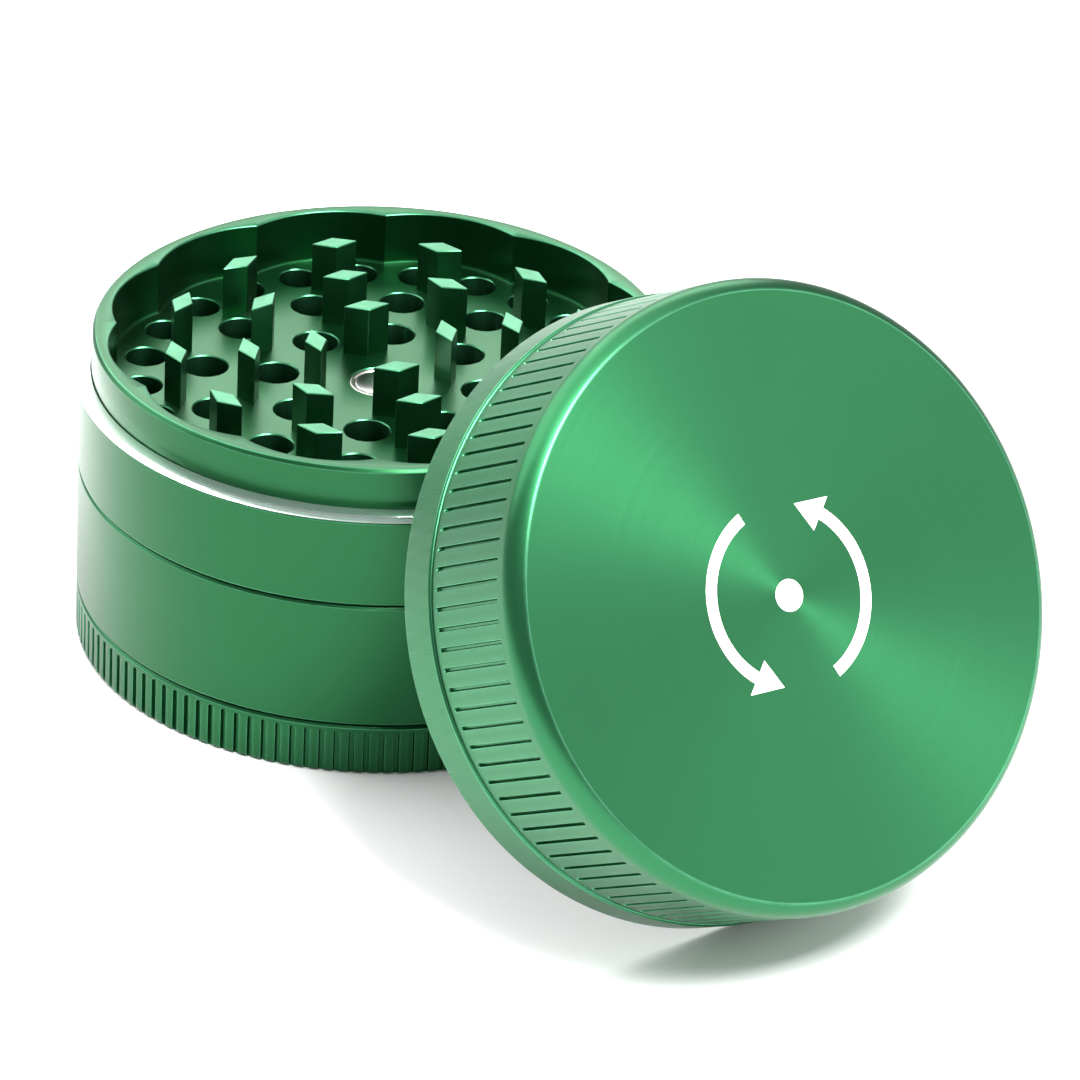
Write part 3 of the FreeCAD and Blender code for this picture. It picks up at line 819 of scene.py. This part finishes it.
def lid(place):
    """The cap: post, bore and rim, then the slotted band, the shoulder and the face."""
    shell = Shell()
    slots_low, slots_high = 5.8, 17.3
    step_radius, step_low, step_high = 31.15, 5.0, 5.3
    band_edge = 0.2
    bore_corner = 1.2
    bore_top = POST_TIP + POST_BORE
    tooth_tip, sunk_foot = 1.0, 0.3
    cut = slot_cut(BAND_RADIUS, LID_SLOTS, LID_SLOT_WIDTH, LID_SLOT_DEPTH, slots_low, slots_high)
    rows = softened([(1.5, bore_top), (MAGNET_BORE, bore_top, 0.1), (MAGNET_BORE, POST_TIP, 0.12),
                     (POST_RADIUS, POST_TIP, 0.35), (POST_RADIUS, LID_DEPTH, 0.4),
                     (LID_BORE - bore_corner, LID_DEPTH, 0.3), (LID_BORE, LID_DEPTH - bore_corner, 0.3),
                     (LID_BORE, RIM_CHAMFER, 0.06), (LID_BORE + RIM_CHAMFER, 0.0, 0.06),
                     (LID_RADIUS - RIM_CHAMFER, 0.0, CORNER), (LID_RADIUS, RIM_CHAMFER, CORNER),
                     (LID_RADIUS, 4.8, 0.07), (LID_RADIUS - band_edge, step_low, 0.05),
                     (step_radius, step_low, 0.03), (step_radius, step_high, 0.03),
                     (BAND_RADIUS, step_high, 0.03), (BAND_RADIUS, 5.62)])
    # rows close together where the slots' round ends are
    lower_ends, upper_ends = np.arange(5.7, 6.1, 0.04), np.arange(16.98, 17.41, 0.04)
    for height in [*lower_ends, 6.4, 9.0, 11.5, 14.0, 16.7, *upper_ends]:
        rows.append(Row(BAND_RADIUS, float(height), cut=cut))
    rows.append(Row(BAND_RADIUS, 17.5))
    rows += lid_shoulder()
    # the face's edge row is marked worn and painted lighter, as wear and as the bright edge highlight
    rows += [Row(29.86, LID_HEIGHT, 1.0), Row(29.74, LID_HEIGHT), Row(20.0, LID_HEIGHT),
             Row(8.0, LID_HEIGHT), Row(1.0, LID_HEIGHT)]
    shell.turned(rows, slot_columns(LID_SLOTS, BAND_RADIUS, LID_SLOT_WIDTH), caps=(True, True))
    for radius, count, first in LID_TEETH:
        for i in range(count):
            shell.tooth(radius, first + 360 * i / count, LID_DEPTH + sunk_foot, tooth_tip)
    shell.piece("lid_body", "lid_cap", lid_green_lightened, ["lid"], place)


def turn_mark(place):
    """A plain printed sign for turning: two curved arrows round a dot."""
    shell = Shell()
    low, high = LID_HEIGHT - 0.004, LID_HEIGHT + 0.014
    radius, stroke, sweep = 9.0, 1.25, 118
    head_width, head_length = 1.9, 0.36
    dot_radius = 1.6

    def at(distance, angle):
        return distance * math.cos(angle), distance * math.sin(angle)

    for first in (20, 200):
        start, end = math.radians(first), math.radians(first + sweep)
        angles = np.linspace(start, end, 60)
        outline = [at(radius + stroke / 2, a) for a in angles]
        outline += [at(radius + head_width, end), at(radius, end + head_length),
                    at(radius - head_width, end)]
        outline += [at(radius - stroke / 2, a) for a in angles[::-1]]
        shell.plate(outline, low, high)
    dot = [at(dot_radius, a) for a in np.linspace(0, TAU, 64, endpoint=False)]
    shell.plate(dot, low, high)
    shell.piece("lid_turn_mark", "lid_cap", ink, (), place)


kief_catcher()
screen_chamber()
mesh_screen()
retaining_ring()
grinding_chamber()
friction_ring()
magnet_seat = FLOOR_LEVEL - MAGNET_DEPTH
magnet("chamber_magnet_disc", "top_lift", "chamber_magnet", magnet_seat)
magnet_ring("chamber_magnet_ring_body", "grinding_lift", "chamber_magnet_ring", magnet_seat, True)
leaning = lid_place()
lid(leaning)
lid_seat_level = POST_TIP + MAGNET_DEPTH - MAGNET_HEIGHT
magnet("lid_magnet_disc", "lid_seat", "lid_magnet", lid_seat_level, leaning)
magnet_ring("lid_magnet_ring_body", "lid_carrier", "lid_magnet_ring", lid_seat_level, False,
            leaning)
turn_mark(leaning)


# ---------------------------------------------------------------- floor, light and camera
def floor_material():
    nodes = Nodes("pale_floor")
    own = nodes.new("ShaderNodeTexCoord").outputs["Object"]
    nodes.feed(nodes.mix(nodes.noise(own, scale=6.0), (0.90, 0.90, 0.90), (0.93, 0.93, 0.93)),
               "Base Color")
    nodes.feed(nodes.between(nodes.noise(own, scale=30.0), 0.6, 0.75), "Roughness")
    return nodes.material


def floor():
    mesh = bpy.data.meshes.new("floor")
    half = 6.0
    just_below = -0.00002
    corners = [(-half, -half, 0), (half, -half, 0), (half, half, 0), (-half, half, 0)]
    mesh.from_pydata(corners, [], [(0, 1, 2, 3)])
    mesh.materials.append(floor_material())
    made = bpy.data.objects.new("floor", mesh)
    made.location.z = just_below
    bpy.context.scene.collection.objects.link(made)


def softbox(name, azimuth, elevation, distance, width, height, power):
    """An area light seen from the object at an azimuth from +X and an elevation, in degrees."""
    aim = Vector((0.015, -0.02, 0.02))
    a, e = math.radians(azimuth), math.radians(elevation)
    away = Vector((math.cos(a) * math.cos(e), math.sin(a) * math.cos(e), math.sin(e)))
    light = bpy.data.lights.new(name, "AREA")
    light.shape = "RECTANGLE"
    light.size = width
    light.size_y = height
    light.energy = power
    made = bpy.data.objects.new(name, light)
    made.location = aim + away * distance
    made.rotation_mode = "QUATERNION"
    made.rotation_quaternion = away.to_track_quat("Z", "Y")
    bpy.context.scene.collection.objects.link(made)


def world():
    made = bpy.data.worlds.new("studio")
    made.use_nodes = True
    background = made.node_tree.nodes["Background"]
    background.inputs["Color"].default_value = (1, 1, 1, 1)
    background.inputs["Strength"].default_value = 0.7
    bpy.context.scene.world = made


# metres, radians, and millimetres for the lens
CAMERA_DISTANCE = 0.7049
CAMERA_ELEVATION = 0.5207
CAMERA_LENS = 219.4
CAMERA_SENSOR = 36.0
CAMERA_CLIP_START = 0.02
CAMERA_YAW = -0.0252
CAMERA_PITCH = 0.0134
CAMERA_ROLL = 0.0368


def camera():
    data = bpy.data.cameras.new("camera")
    data.lens = CAMERA_LENS
    data.sensor_width = CAMERA_SENSOR
    data.clip_start = CAMERA_CLIP_START
    made = bpy.data.objects.new("camera", data)
    back = Vector((0, -math.cos(CAMERA_ELEVATION), math.sin(CAMERA_ELEVATION)))
    forward = -back
    right = Vector((1, 0, 0))
    up = right.cross(forward)
    yaw = Quaternion(up, CAMERA_YAW)
    forward, right = yaw @ forward, yaw @ right
    pitch = Quaternion(right, CAMERA_PITCH)
    forward, up = pitch @ forward, pitch @ up
    roll = Quaternion(forward, -CAMERA_ROLL)
    right, up = roll @ right, roll @ up
    turn = Matrix((right, up, -forward)).transposed()
    made.matrix_world = Matrix.Translation(back * CAMERA_DISTANCE) @ turn.to_4x4()
    bpy.context.scene.collection.objects.link(made)
    bpy.context.scene.camera = made


floor()
world()
softbox("key_left", azimuth=150, elevation=42, distance=0.8, width=0.7, height=0.7, power=6.0)
softbox("key_front", azimuth=-54, elevation=58, distance=0.9, width=0.40, height=0.34, power=17.0)
softbox("fill_right", azimuth=-14, elevation=26, distance=0.9, width=0.6, height=0.5, power=1.8)
softbox("back", azimuth=96, elevation=34, distance=1.0, width=0.8, height=0.4, power=5.0)
softbox("top", azimuth=60, elevation=85, distance=0.9, width=0.8, height=0.8, power=3.5)
camera()
bpy.context.scene.view_settings.view_transform = "Standard"
